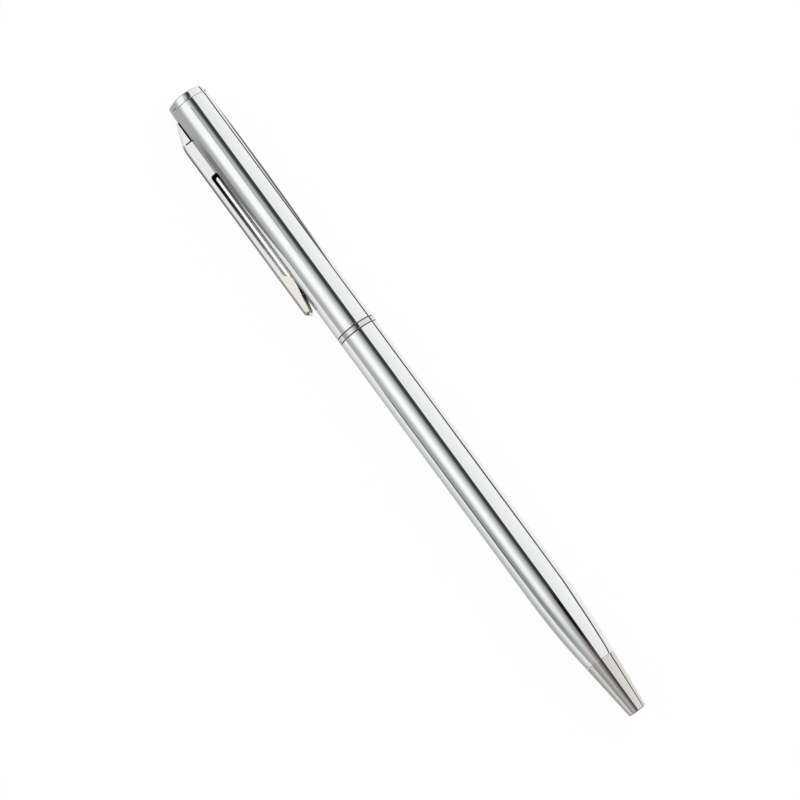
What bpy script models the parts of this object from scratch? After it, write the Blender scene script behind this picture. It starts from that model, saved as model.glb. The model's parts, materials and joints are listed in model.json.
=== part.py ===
"""Slim chrome twist-action ballpoint pen, as separate pieces at their real size.

The pen is designed along its own axis: local +Z runs from the crown's flat end at zero to the nose, and the
clip stands on local +X. An empty on that axis then lays the pen down, nose towards world +X, rolled over until
it rests on its barrel and its clip. Sizes are in metres. Stations are distances from the crown's end.
"""

import math

import bmesh
import bpy
from mathutils import Matrix, Vector

MM = 0.001

# Casing
BARREL_DIAMETER = 7.6 * MM
BARREL_WALL = 0.45 * MM
UPPER_BARREL_LENGTH = 49.95 * MM
LOWER_BARREL_LENGTH = 70.54 * MM
DRAWN_IN_LENGTH = 15.3 * MM
CROWN_HEIGHT = 1.42 * MM
CROWN_FACE_DIAMETER = 6.9 * MM
CROWN_EDGE = 0.2 * MM
CROWN_STUD_DIAMETER = 3.0 * MM
CROWN_STUD_LENGTH = 5.5 * MM
RING_WIDTH = 1.1 * MM
RING_CHAMFER = 0.1 * MM
NOSE_LENGTH = 10.75 * MM
NOSE_ROOT_DIAMETER = 5.72 * MM
NOSE_END_DIAMETER = 3.4 * MM
NOSE_EDGE = 0.15 * MM
NOSE_SPIGOT_LENGTH = 5.5 * MM
NOSE_GUIDE_LENGTH = 5.0 * MM
NOSE_SPIGOT_WALL = 0.7 * MM

# Clip, folded from sheet
CLIP_LENGTH = 42.2 * MM
CLIP_WIDTH = 3.4 * MM
CLIP_SHEET = 0.4 * MM
CLIP_BEND = 0.35 * MM
CLIP_STANDOFF = 1.9 * MM
CLIP_STATION = 2.6 * MM
CLIP_RAMP_LENGTH = 3.5 * MM
CLIP_HEEL_LENGTH = 0.8 * MM
CLIP_SHOULDER_LENGTH = 7.5 * MM
CLIP_RAIL_HEIGHT = 1.1 * MM
CLIP_LEAF_LENGTH = 8.35 * MM
CLIP_LEAF_ENTRY = 1.05 * MM
CLIP_LEAF_REST = 1.2 * MM
CLIP_TIP_HEIGHT = 1.35 * MM
CLIP_TIP_RADIUS = 0.8 * MM
CLIP_SLIT_WIDTH = 0.3 * MM
CLIP_SLIT_LAND = 1.0 * MM
CLIP_WINDOW_RADIUS = 0.5 * MM
CLIP_REST_GAP = 0.1 * MM
HOOK_WIDTH = 2.0 * MM
HOOK_SHEET = 0.45 * MM
HOOK_SETBACK = 0.6 * MM
HOOK_LENGTH = 1.85 * MM
HOOK_DEPTH = 0.3 * MM
CLIP_SLOT_MARGIN = 0.2 * MM
BUSH_LENGTH = 7.5 * MM
CLIP_OPENING = math.radians(4.0)

# Twist mechanism
SLEEVE_WALL = 0.4 * MM
SLEEVE_SPIGOT = 4.3 * MM
SLEEVE_DEPTH = 18.0 * MM
SLEEVE_FLANGE = 1.0 * MM
COLLAR_LENGTH = 1.2 * MM
CAM_WALL = 0.6 * MM
WASHER_THICKNESS = 0.4 * MM
STUB_LENGTH = 11.5 * MM
STUB_SPIGOT = 3.7 * MM
STUB_LEAD_IN = 0.5 * MM
STUB_FLUTES = 10
FLUTE_WIDTH = 0.7 * MM
FLUTE_DEPTH = 0.3 * MM
GRIP_SECTION = 0.55 * MM
GRIP_STATION = 2.6 * MM
LINER_WALL = 0.6 * MM
LINER_MARGIN = 0.7 * MM
PIN_DIAMETER = 1.0 * MM
PIN_STATION = 10.7 * MM
PIN_INSET = 0.15 * MM
SLOT_GAP = 0.15 * MM
FOLLOWER_HALF_LENGTH = 3.0 * MM
FOLLOWER_ROD_WALL = 0.45 * MM
FOLLOWER_ROD_OVERHANG = 0.5 * MM
SOCKET_DEPTH = 5.4 * MM
REFILL_TRAVEL = 5.0 * MM
TWIST_ANGLE = math.radians(180.0)

# Refill
REFILL_DIAMETER = 2.35 * MM
REFILL_WALL = 0.3 * MM
RETRACTED_DEPTH = 2.4 * MM
GREASE_INSET = 6.0 * MM
GREASE_LENGTH = 3.4 * MM
TIP_LENGTH = 4.3 * MM
TIP_SHOULDER = 0.8 * MM
TIP_SPIGOT = 2.7 * MM
TIP_LIP_DIAMETER = 1.24 * MM
INK_CHANNEL_DIAMETER = 0.5 * MM
BALL_DIAMETER = 1.0 * MM
BALL_GAP = 0.04 * MM
BALL_LIP = 0.26 * MM

# Gaps kept between neighbours: butted ends, pressed fits, and fits that turn or slide
SEAM_GAP = 0.06 * MM
PRESS_GAP = 0.05 * MM
RUN_GAP = 0.1 * MM

# Facets
CASING_STEPS = 48
INNER_STEPS = 32
REFILL_STEPS = 20
ARC_STEPS = 8
CORNER_STEPS = 4
HELIX_STEPS = 24
MERGE = 1e-7

# Stations along the casing
UPPER_START = CROWN_HEIGHT + SEAM_GAP
UPPER_END = UPPER_START + UPPER_BARREL_LENGTH
RING_START = UPPER_END + SEAM_GAP
RING_END = RING_START + RING_WIDTH
LOWER_START = RING_END + SEAM_GAP
LOWER_END = LOWER_START + LOWER_BARREL_LENGTH
NOSE_START = LOWER_END + SEAM_GAP
NOSE_END = NOSE_START + NOSE_LENGTH
DRAW_START = LOWER_END - DRAWN_IN_LENGTH

# Stations of the mechanism, which is built about the joint between the halves
SLEEVE_START = UPPER_END - SLEEVE_SPIGOT
SLEEVE_END = LOWER_START + SLEEVE_DEPTH
COLLAR_END = SLEEVE_START + COLLAR_LENGTH
FLANGE_START = SLEEVE_END - SLEEVE_FLANGE
CAM_START = COLLAR_END + RUN_GAP
WASHER_START = FLANGE_START - RUN_GAP - WASHER_THICKNESS
CAM_END = WASHER_START - RUN_GAP
STUB_END = SLEEVE_START - RUN_GAP
STUB_START = STUB_END - STUB_LENGTH
PIN_HOME = CAM_START + PIN_STATION
ROD_END = SLEEVE_END + FOLLOWER_ROD_OVERHANG
SOCKET_FLOOR = ROD_END - SOCKET_DEPTH

# Stations of the refill
BALL_CENTRE = NOSE_END - RETRACTED_DEPTH - BALL_DIAMETER / 2
LIP_END = BALL_CENTRE + BALL_LIP
TIP_START = LIP_END - TIP_LENGTH
REFILL_START = SOCKET_FLOOR + SEAM_GAP
REFILL_END = TIP_START - SEAM_GAP

# Radii, from the casing inwards
BARREL_R = BARREL_DIAMETER / 2
BORE_R = BARREL_R - BARREL_WALL
NOSE_ROOT_R = NOSE_ROOT_DIAMETER / 2
PRESSED_R = BORE_R - PRESS_GAP
SPIGOT_R = BORE_R - RUN_GAP
SLEEVE_BORE_R = PRESSED_R - SLEEVE_WALL
CAM_R = SLEEVE_BORE_R - RUN_GAP
CAM_BORE_R = CAM_R - CAM_WALL
LINER_BORE_R = PRESSED_R - LINER_WALL
STUB_R = LINER_BORE_R - RUN_GAP
NECK_R = CAM_BORE_R - PRESS_GAP
REFILL_R = REFILL_DIAMETER / 2
REFILL_BORE_R = REFILL_R - REFILL_WALL
SOCKET_R = REFILL_R + PRESS_GAP
ROD_R = SOCKET_R + FOLLOWER_ROD_WALL
STUD_R = CROWN_STUD_DIAMETER / 2
PIN_R = PIN_DIAMETER / 2

# Heights over the pen's axis where the clip stands
CLIP_TOP = BARREL_R + CLIP_STANDOFF
CLIP_TRIM_R = BARREL_R + CLIP_REST_GAP
CLIP_END = CLIP_STATION + CLIP_LENGTH
RAMP_END = CLIP_STATION + CLIP_RAMP_LENGTH
SLIT_START = RAMP_END + CLIP_HEEL_LENGTH
HOOK_STATION = CLIP_STATION + HOOK_SETBACK
HOOK_TOP = BORE_R - HOOK_DEPTH


def clear_scene():
    for obj in list(bpy.data.objects):
        bpy.data.objects.remove(obj, do_unlink=True)


def new_collection(name):
    group = bpy.data.collections.new(name)
    bpy.context.scene.collection.children.link(group)
    return group


def empty_at(name, parent=None, location=(0, 0, 0)):
    """An empty on a joint's axis, which carries the pieces that move about it."""
    empty = bpy.data.objects.new(name, None)
    empty.empty_display_size = BARREL_R
    pen_parts.objects.link(empty)
    empty.parent = parent
    empty.location = location
    return empty


def finish(name, colour, roughness, metallic):
    material = bpy.data.materials.new(name)
    material.use_nodes = True
    shader = material.node_tree.nodes["Principled BSDF"]
    shader.inputs["Base Color"].default_value = (*colour, 1.0)
    shader.inputs["Roughness"].default_value = roughness
    shader.inputs["Metallic"].default_value = metallic
    return material


def chrome(name):
    return finish(name, (0.83, 0.84, 0.85), 0.07, 1.0)


def brass(name):
    return finish(name, (0.78, 0.60, 0.30), 0.28, 1.0)


def plastic(name, colour):
    return finish(name, colour, 0.45, 0.0)


def add_piece(name, mesh, parent, material):
    """A sub-part of the pen, drawn in the pen's own frame and carried by the empty on its joint's axis."""
    piece = bpy.data.objects.new(name, mesh)
    pen_parts.objects.link(piece)
    piece.parent = parent
    carrier = parent
    while carrier is not pen_axis:
        piece.location -= carrier.location
        carrier = carrier.parent
    mesh.materials.append(material)
    return piece


def add_cutter(name, mesh):
    cutter = bpy.data.objects.new(name, mesh)
    pen_cutters.objects.link(cutter)
    cutter.parent = pen_axis
    cutter.hide_render = True
    cutter.display_type = "WIRE"
    return cutter


def boolean(piece, cutter, operation="DIFFERENCE"):
    change = piece.modifiers.new(cutter.name, "BOOLEAN")
    change.operation = operation
    change.object = cutter
    change.solver = "EXACT"


def turned(name, outer, inner, parent, material, steps):
    """A turned piece from (station, radius) lines that both run from the crown towards the nose.

    With no inner line the piece is solid, and its outer line starts and ends on the axis.
    """
    loop = list(reversed(outer)) + list(inner)
    mesh = bpy.data.meshes.new(name)
    edges = [(i, i + 1) for i in range(len(loop) - 1)]
    if inner:
        edges.append((len(loop) - 1, 0))
    mesh.from_pydata([(radius, 0, station) for station, radius in loop], edges, [])
    piece = add_piece(name, mesh, parent, material)
    lathe = piece.modifiers.new("lathe", "SCREW")
    lathe.axis = "Z"
    lathe.angle = math.tau
    lathe.steps = steps
    lathe.render_steps = steps
    lathe.use_merge_vertices = True
    lathe.merge_threshold = MERGE
    lathe.use_smooth_shade = True
    return piece


def arc(centre, radius, start, end, steps):
    """(station, height) points on an arc, with angles from the station axis."""
    turn = [start + (end - start) * i / steps for i in range(steps + 1)]
    return [(centre[0] + radius * math.cos(a), centre[1] + radius * math.sin(a)) for a in turn]


def outline_mesh(name, points, half_width):
    """A closed (station, height) outline as a solid of the given half width across the clip."""
    curve = bpy.data.curves.new(name, "CURVE")
    curve.dimensions = "2D"
    curve.fill_mode = "BOTH"
    curve.extrude = half_width
    spline = curve.splines.new("POLY")
    spline.points.add(len(points) - 1)
    for point, (station, height) in zip(spline.points, points):
        point.co = (station, height, 0, 1)
    spline.use_cyclic_u = True
    flat = bpy.data.objects.new(name, curve)
    bpy.context.scene.collection.objects.link(flat)
    graph = bpy.context.evaluated_depsgraph_get()
    mesh = bpy.data.meshes.new_from_object(flat.evaluated_get(graph))
    bpy.data.objects.remove(flat, do_unlink=True)
    shape = bmesh.new()
    shape.from_mesh(mesh)
    bmesh.ops.remove_doubles(shape, verts=shape.verts, dist=MERGE)
    along_pen = Matrix(((0, 1, 0, 0), (0, 0, 1, 0), (1, 0, 0, 0), (0, 0, 0, 1)))
    bmesh.ops.transform(shape, matrix=along_pen, verts=shape.verts)
    bmesh.ops.recalc_face_normals(shape, faces=shape.faces)
    shape.to_mesh(mesh)
    shape.free()
    return mesh


def box_mesh(name, low, high):
    low, high = Vector(low), Vector(high)
    shape = bmesh.new()
    size = Matrix.Diagonal((*(high - low), 1))
    bmesh.ops.create_cube(shape, size=1, matrix=Matrix.Translation((low + high) / 2) @ size)
    mesh = bpy.data.meshes.new(name)
    shape.to_mesh(mesh)
    shape.free()
    return mesh


def rod_mesh(name, radius, length, place, steps):
    shape = bmesh.new()
    bmesh.ops.create_cone(
        shape, cap_ends=True, segments=steps, radius1=radius, radius2=radius, depth=length, matrix=place
    )
    mesh = bpy.data.meshes.new(name)
    shape.to_mesh(mesh)
    shape.free()
    return mesh


def drawn_in_line(start_radius, end_radius, shift=0.0):
    """The front of the lower barrel: straight until it starts to curve in, then an arc of a large circle."""
    points = []
    for i in range(ARC_STEPS + 1):
        part = i / ARC_STEPS
        radius = start_radius - (start_radius - end_radius) * part**2
        points.append((DRAW_START + DRAWN_IN_LENGTH * part, radius - shift))
    return points


def make_crown():
    face_r = CROWN_FACE_DIAMETER / 2
    stud_end = CROWN_HEIGHT + CROWN_STUD_LENGTH
    outer = [
        (0, 0),
        (0, face_r - CROWN_EDGE),
        (CROWN_EDGE / 2, face_r - CROWN_EDGE / 4),
        (CROWN_EDGE * 2, face_r + CROWN_EDGE / 2),
        (CROWN_HEIGHT, BARREL_R - SEAM_GAP),
        (CROWN_HEIGHT, STUD_R),
        (stud_end, STUD_R),
        (stud_end, 0),
    ]
    turned("crown", outer, [], cap_axis, chrome("crown_chrome"), CASING_STEPS)


def make_clip_bush():
    end = UPPER_START + BUSH_LENGTH
    bore = STUD_R + PRESS_GAP
    bush = turned(
        "clip_bush",
        [(UPPER_START, PRESSED_R), (end, PRESSED_R)],
        [(UPPER_START, bore), (end, bore)],
        cap_axis,
        plastic("bush_plastic", (0.10, 0.10, 0.11)),
        INNER_STEPS,
    )
    half = HOOK_WIDTH / 2 + RUN_GAP
    swing = CLIP_OPENING * HOOK_LENGTH + RUN_GAP
    low = (HOOK_TOP - HOOK_SHEET - swing, -half, 0)
    high = (BARREL_R, half, HOOK_STATION + HOOK_SHEET + swing)
    boolean(bush, add_cutter("hook_groove", box_mesh("hook_groove", low, high)))


def make_upper_barrel():
    barrel = turned(
        "upper_barrel",
        [(UPPER_START, BARREL_R - SEAM_GAP), (UPPER_START + SEAM_GAP, BARREL_R), (UPPER_END, BARREL_R)],
        [(UPPER_START, BORE_R), (UPPER_END, BORE_R)],
        cap_axis,
        chrome("upper_barrel_chrome"),
        CASING_STEPS,
    )
    half = HOOK_WIDTH / 2 + CLIP_SLOT_MARGIN
    slot = box_mesh("clip_slot", (0, -half, HOOK_STATION - CLIP_SLOT_MARGIN / 2), (CLIP_TOP, half, SLIT_START))
    boolean(barrel, add_cutter("clip_slot", slot))


def make_drive_liner():
    end = STUB_END - LINER_MARGIN
    start = STUB_START - LINER_MARGIN
    turned(
        "drive_liner",
        [(start, PRESSED_R), (end, PRESSED_R)],
        [(start, LINER_BORE_R), (end - STUB_LEAD_IN, LINER_BORE_R), (end, LINER_BORE_R + STUB_LEAD_IN / 2)],
        cap_axis,
        plastic("liner_plastic", (0.86, 0.85, 0.82)),
        INNER_STEPS,
    )


def clip_outline():
    """The clip from its side: ramp, flat back, rounded tip, leaf, open window, shoulder and slit."""
    wall_foot = BORE_R
    leaf_start = CLIP_END - CLIP_LEAF_LENGTH
    rest_start = leaf_start + CLIP_LEAF_ENTRY
    rest_end = rest_start + CLIP_LEAF_REST
    rail_foot = CLIP_TOP - CLIP_RAIL_HEIGHT
    window_start = SLIT_START + CLIP_SHOULDER_LENGTH
    slit_top = CLIP_TOP - CLIP_SLIT_LAND
    tip_centre = (CLIP_END - CLIP_TIP_RADIUS, CLIP_TOP - CLIP_TIP_RADIUS)
    tip_foot = (CLIP_END - CLIP_TIP_RADIUS, CLIP_TOP - CLIP_TIP_HEIGHT)
    window_corner = (window_start + CLIP_WINDOW_RADIUS, rail_foot - CLIP_WINDOW_RADIUS)
    back = [(CLIP_STATION, wall_foot), (CLIP_STATION, CLIP_TRIM_R), (RAMP_END, CLIP_TOP)]
    tip = arc(tip_centre, CLIP_TIP_RADIUS, math.pi / 2, 0, CORNER_STEPS)
    leaf = [tip_foot, (rest_end, wall_foot), (rest_start, wall_foot), (leaf_start, rail_foot)]
    window = arc(window_corner, CLIP_WINDOW_RADIUS, math.pi / 2, math.pi, CORNER_STEPS)
    shoulder = [
        (window_start, wall_foot),
        (SLIT_START + CLIP_SLIT_WIDTH, wall_foot),
        (SLIT_START + CLIP_SLIT_WIDTH, slit_top),
        (SLIT_START, slit_top),
        (SLIT_START, wall_foot),
    ]
    return back + tip + leaf + window + shoulder


def ramp_height(station):
    return CLIP_TRIM_R + (CLIP_TOP - CLIP_TRIM_R) * (station - CLIP_STATION) / CLIP_RAMP_LENGTH


def clip_hollow():
    """The inside of the folded channel, from behind the hook to the closed tip."""
    start = HOOK_STATION + HOOK_SHEET
    slope = math.hypot(CLIP_RAMP_LENGTH, CLIP_TOP - CLIP_TRIM_R) / CLIP_RAMP_LENGTH
    roof = CLIP_TOP - CLIP_SHEET
    ramp_roof_end = RAMP_END + CLIP_SHEET * (slope - 1) * CLIP_RAMP_LENGTH / (CLIP_TOP - CLIP_TRIM_R)
    tip_wall = CLIP_END - CLIP_SHEET
    floor = BORE_R - CLIP_SHEET
    ramp_roof_start = (start, ramp_height(start) - CLIP_SHEET * slope)
    return [(start, floor), ramp_roof_start, (ramp_roof_end, roof), (tip_wall, roof), (tip_wall, floor)]


def round_clip_back(mesh):
    """Rounds the two long bends of the sheet, along the ramp, the back and the tip."""
    half = CLIP_WIDTH / 2
    shape = bmesh.new()
    shape.from_mesh(mesh)
    bends = []
    for edge in shape.edges:
        ends = [vert.co for vert in edge.verts]
        outside = all(abs(abs(co.y) - half) < MERGE for co in ends)
        same_side = ends[0].y * ends[1].y > 0
        on_back = all(co.x >= min(ramp_height(co.z), CLIP_TOP) - CLIP_TIP_RADIUS - MERGE for co in ends)
        above_wall = all(co.x > CLIP_TOP - CLIP_SLIT_LAND or co.z < SLIT_START for co in ends)
        sloping = abs(ends[0].z - ends[1].z) > MERGE
        if outside and same_side and on_back and above_wall and sloping:
            bends.append(edge)
    bmesh.ops.bevel(
        shape,
        geom=bends,
        offset=CLIP_BEND,
        offset_type="OFFSET",
        affect="EDGES",
        segments=CORNER_STEPS - 1,
        profile=0.5,
        clamp_overlap=True,
        material=-1,
    )
    bmesh.ops.recalc_face_normals(shape, faces=shape.faces)
    shape.to_mesh(mesh)
    shape.free()


def make_clip():
    mesh = outline_mesh("clip", clip_outline(), CLIP_WIDTH / 2)
    round_clip_back(mesh)
    clip = add_piece("clip", mesh, clip_root, chrome("clip_chrome"))
    hollow = outline_mesh("clip_hollow", clip_hollow(), CLIP_WIDTH / 2 - CLIP_SHEET)
    boolean(clip, add_cutter("clip_hollow", hollow))
    middle = Matrix.Translation((0, 0, (CLIP_STATION + CLIP_END) / 2))
    trim = rod_mesh("clip_trim", CLIP_TRIM_R, CLIP_LENGTH * 2, middle, CASING_STEPS)
    boolean(clip, add_cutter("clip_trim", trim))
    hook_end = HOOK_STATION + HOOK_SHEET
    foot_start = hook_end - HOOK_LENGTH
    hook_outline = [
        (foot_start, HOOK_TOP - HOOK_SHEET),
        (foot_start, HOOK_TOP),
        (HOOK_STATION, HOOK_TOP),
        (HOOK_STATION, ramp_height(HOOK_STATION) - CLIP_SHEET / 2),
        (hook_end, ramp_height(HOOK_STATION) - CLIP_SHEET / 2),
        (hook_end, HOOK_TOP - HOOK_SHEET),
    ]
    hook = outline_mesh("clip_hook", hook_outline, HOOK_WIDTH / 2)
    boolean(clip, add_cutter("clip_hook", hook), "UNION")


def make_centre_ring():
    bore = SPIGOT_R + PRESS_GAP
    edge_r = BARREL_R - RING_CHAMFER
    outer = [
        (RING_START, edge_r),
        (RING_START + RING_CHAMFER, BARREL_R),
        (RING_END - RING_CHAMFER, BARREL_R),
        (RING_END, edge_r),
    ]
    turned(
        "centre_ring",
        outer,
        [(RING_START, bore), (RING_END, bore)],
        pen_axis,
        chrome("ring_chrome"),
        CASING_STEPS,
    )


def make_lower_barrel():
    outer = [(LOWER_START, BARREL_R)] + drawn_in_line(BARREL_R, NOSE_ROOT_R)
    inner = [(LOWER_START, BORE_R)] + drawn_in_line(BARREL_R, NOSE_ROOT_R, BARREL_WALL)
    turned("lower_barrel", outer, inner, pen_axis, chrome("lower_barrel_chrome"), CASING_STEPS)


def make_nose_cone():
    end_r = NOSE_END_DIAMETER / 2
    spigot_r = NOSE_ROOT_R - BARREL_WALL - PRESS_GAP
    spigot_bore = spigot_r - NOSE_SPIGOT_WALL
    guide_r = REFILL_R + RUN_GAP
    spigot_start = NOSE_START - NOSE_SPIGOT_LENGTH
    guide_start = NOSE_END - NOSE_GUIDE_LENGTH
    corner = (NOSE_END - NOSE_EDGE, end_r - NOSE_EDGE)
    outer = [(spigot_start, spigot_r), (NOSE_START, spigot_r), (NOSE_START, NOSE_ROOT_R)]
    outer += arc(corner, NOSE_EDGE, math.pi / 2, 0, CORNER_STEPS)
    inner = [
        (spigot_start, spigot_bore),
        (NOSE_START, spigot_bore),
        (guide_start, guide_r),
        (NOSE_END, guide_r),
    ]
    turned("nose_cone", outer, inner, pen_axis, chrome("nose_chrome"), CASING_STEPS)


def make_mechanism_sleeve():
    flange_bore = ROD_R + RUN_GAP
    sleeve = turned(
        "mechanism_sleeve",
        [
            (SLEEVE_START, SPIGOT_R - RUN_GAP),
            (SLEEVE_START + RUN_GAP, SPIGOT_R),
            (LOWER_START, SPIGOT_R),
            (LOWER_START, PRESSED_R),
            (SLEEVE_END, PRESSED_R),
        ],
        [
            (SLEEVE_START, SLEEVE_BORE_R),
            (FLANGE_START, SLEEVE_BORE_R),
            (FLANGE_START, flange_bore),
            (SLEEVE_END, flange_bore),
        ],
        pen_axis,
        brass("sleeve_brass"),
        INNER_STEPS,
    )
    half = PIN_R + SLOT_GAP
    low = (-half, -BARREL_R, PIN_HOME - half)
    high = (half, BARREL_R, PIN_HOME + REFILL_TRAVEL + half)
    boolean(sleeve, add_cutter("straight_slots", box_mesh("straight_slots", low, high)))


def make_retaining_collar():
    outer_r = SLEEVE_BORE_R - PRESS_GAP
    bore = NECK_R + RUN_GAP
    turned(
        "retaining_collar",
        [(SLEEVE_START, outer_r), (COLLAR_END, outer_r)],
        [(SLEEVE_START, bore), (COLLAR_END, bore)],
        pen_axis,
        brass("collar_brass"),
        INNER_STEPS,
    )


def make_thrust_washer():
    end = WASHER_START + WASHER_THICKNESS
    turned(
        "thrust_washer",
        [(WASHER_START, CAM_R), (end, CAM_R)],
        [(WASHER_START, CAM_BORE_R), (end, CAM_BORE_R)],
        pen_axis,
        plastic("washer_plastic", (0.90, 0.90, 0.88)),
        INNER_STEPS,
    )


def helix_mesh(name, start_angle):
    """A helical slot as a swept block: the pin moves towards the nose while the cam turns under it."""
    half = PIN_R + SLOT_GAP
    extra = half / CAM_R
    sweep = TWIST_ANGLE + 2 * extra
    rise = REFILL_TRAVEL / TWIST_ANGLE
    low = PIN_HOME - extra * rise
    inside = CAM_BORE_R - CAM_WALL / 2
    outside = CAM_R + CAM_WALL / 2
    corners = [(inside, low - half), (outside, low - half), (outside, low + half), (inside, low + half)]
    shape = bmesh.new()
    turn_to_start = Matrix.Rotation(start_angle + extra, 4, "Z")
    verts = [shape.verts.new(turn_to_start @ Vector((radius, 0, station))) for radius, station in corners]
    section = shape.faces.new(verts)
    bmesh.ops.spin(
        shape,
        geom=[*verts, *section.edges, section],
        cent=(0, 0, 0),
        axis=(0, 0, 1),
        dvec=(0, 0, sweep * rise / HELIX_STEPS),
        angle=-sweep,
        steps=HELIX_STEPS,
        space=Matrix.Identity(4),
    )
    bmesh.ops.recalc_face_normals(shape, faces=shape.faces)
    mesh = bpy.data.meshes.new(name)
    shape.to_mesh(mesh)
    shape.free()
    return mesh


def make_cam_tube():
    cam = turned(
        "cam_tube",
        [(CAM_START, CAM_R), (CAM_END, CAM_R)],
        [(CAM_START, CAM_BORE_R), (CAM_END, CAM_BORE_R)],
        drive_axis,
        plastic("cam_plastic", (0.16, 0.17, 0.19)),
        INNER_STEPS,
    )
    for side, angle in (("near", math.pi / 2), ("far", -math.pi / 2)):
        name = "helical_slot_" + side
        boolean(cam, add_cutter(name, helix_mesh(name, angle)))


def make_drive_stub():
    groove_r = LINER_BORE_R - 2 * PRESS_GAP - GRIP_SECTION
    groove_start = STUB_START + GRIP_STATION - GRIP_SECTION / 2 - PRESS_GAP
    groove_end = groove_start + GRIP_SECTION + 2 * PRESS_GAP
    spigot_end = CAM_START + STUB_SPIGOT
    outer = [
        (STUB_START, 0),
        (STUB_START, STUB_R - STUB_LEAD_IN),
        (STUB_START + STUB_LEAD_IN, STUB_R),
        (groove_start, STUB_R),
        (groove_start, groove_r),
        (groove_end, groove_r),
        (groove_end, STUB_R),
        (STUB_END, STUB_R),
        (STUB_END, NECK_R),
        (spigot_end, NECK_R),
        (spigot_end, 0),
    ]
    stub = turned("drive_stub", outer, [], drive_axis, plastic("stub_plastic", (0.16, 0.17, 0.19)), INNER_STEPS)
    flutes = bmesh.new()
    flute_start = groove_end + GRIP_SECTION
    flute_length = STUB_END + RUN_GAP - flute_start
    middle = flute_start + flute_length / 2
    for i in range(STUB_FLUTES):
        turn = Matrix.Rotation(math.tau * i / STUB_FLUTES, 4, "Z")
        place = Matrix.Translation((STUB_R, 0, middle))
        size = Matrix.Diagonal((FLUTE_DEPTH * 2, FLUTE_WIDTH, flute_length, 1))
        bmesh.ops.create_cube(flutes, size=1, matrix=turn @ place @ size)
    mesh = bpy.data.meshes.new("stub_flutes")
    flutes.to_mesh(mesh)
    flutes.free()
    boolean(stub, add_cutter("stub_flutes", mesh))


def make_grip_ring():
    section_r = GRIP_SECTION / 2
    centre = (STUB_START + GRIP_STATION, LINER_BORE_R - PRESS_GAP - section_r)
    outer = arc(centre, section_r, math.pi, 0, CORNER_STEPS)
    inner = arc(centre, section_r, math.pi, math.tau, CORNER_STEPS)[1:-1]
    turned("grip_ring", outer, inner, drive_axis, finish("grip_rubber", (0.03, 0.03, 0.03), 0.6, 0.0), INNER_STEPS)


def make_follower():
    body_start = PIN_HOME - FOLLOWER_HALF_LENGTH
    body_end = PIN_HOME + FOLLOWER_HALF_LENGTH
    body_r = CAM_BORE_R - RUN_GAP
    outer = [
        (body_start, 0),
        (body_start, body_r),
        (body_end, body_r),
        (body_end, ROD_R),
        (ROD_END, ROD_R),
        (ROD_END, SOCKET_R),
        (SOCKET_FLOOR, SOCKET_R),
        (SOCKET_FLOOR, 0),
    ]
    follower = turned(
        "follower", outer, [], refill_axis, plastic("follower_plastic", (0.72, 0.70, 0.66)), INNER_STEPS
    )
    across = Matrix.Translation((0, 0, PIN_HOME)) @ Matrix.Rotation(math.pi / 2, 4, "X")
    hole = rod_mesh("pin_hole", PIN_R + PRESS_GAP, BARREL_DIAMETER, across, REFILL_STEPS)
    boolean(follower, add_cutter("pin_hole", hole))


def make_follower_pin():
    across = Matrix.Translation((0, 0, PIN_HOME)) @ Matrix.Rotation(math.pi / 2, 4, "X")
    length = 2 * (PRESSED_R - PIN_INSET)
    mesh = rod_mesh("follower_pin", PIN_R, length, across, REFILL_STEPS)
    mesh.shade_smooth()
    mesh.set_sharp_from_angle(angle=math.radians(40))
    steel = finish("pin_steel", (0.62, 0.63, 0.64), 0.2, 1.0)
    add_piece("follower_pin", mesh, refill_axis, steel)


def make_refill_tube():
    turned(
        "refill_tube",
        [(REFILL_START, REFILL_R), (REFILL_END, REFILL_R)],
        [(REFILL_START, REFILL_BORE_R), (REFILL_END, REFILL_BORE_R)],
        refill_axis,
        brass("refill_brass"),
        REFILL_STEPS,
    )


def solid_rod(name, start, end, radius, material):
    outer = [(start, 0), (start, radius), (end, radius), (end, 0)]
    turned(name, outer, [], refill_axis, material, REFILL_STEPS)


def make_ink():
    """The ink fills the tube down to the tip, with a short plug of grease behind it."""
    radius = REFILL_BORE_R - PRESS_GAP
    grease_start = REFILL_START + GREASE_INSET
    ink_start = grease_start + GREASE_LENGTH
    ink_end = TIP_START - TIP_SPIGOT - SEAM_GAP
    grease = plastic("grease", (0.80, 0.76, 0.60))
    ink = plastic("ink", (0.01, 0.02, 0.12))
    solid_rod("grease_plug", grease_start, ink_start - SEAM_GAP, radius, grease)
    solid_rod("ink_column", ink_start, ink_end, radius, ink)


def make_refill_tip():
    socket_r = BALL_DIAMETER / 2 + BALL_GAP
    channel_r = INK_CHANNEL_DIAMETER / 2
    spigot_r = REFILL_BORE_R - PRESS_GAP
    spigot_start = TIP_START - TIP_SPIGOT
    back_angle = math.pi - math.asin(channel_r / socket_r)
    mouth_angle = math.acos(BALL_LIP / socket_r)
    outer = [
        (spigot_start, spigot_r),
        (TIP_START, spigot_r),
        (TIP_START, REFILL_R),
        (TIP_START + TIP_SHOULDER, REFILL_R),
        (LIP_END, TIP_LIP_DIAMETER / 2),
    ]
    socket = arc((BALL_CENTRE, 0), socket_r, back_angle, mouth_angle, ARC_STEPS)
    inner = [(spigot_start, channel_r)] + socket
    silver = finish("tip_nickel_silver", (0.72, 0.68, 0.60), 0.22, 1.0)
    turned("refill_tip", outer, inner, refill_axis, silver, REFILL_STEPS)


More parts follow.
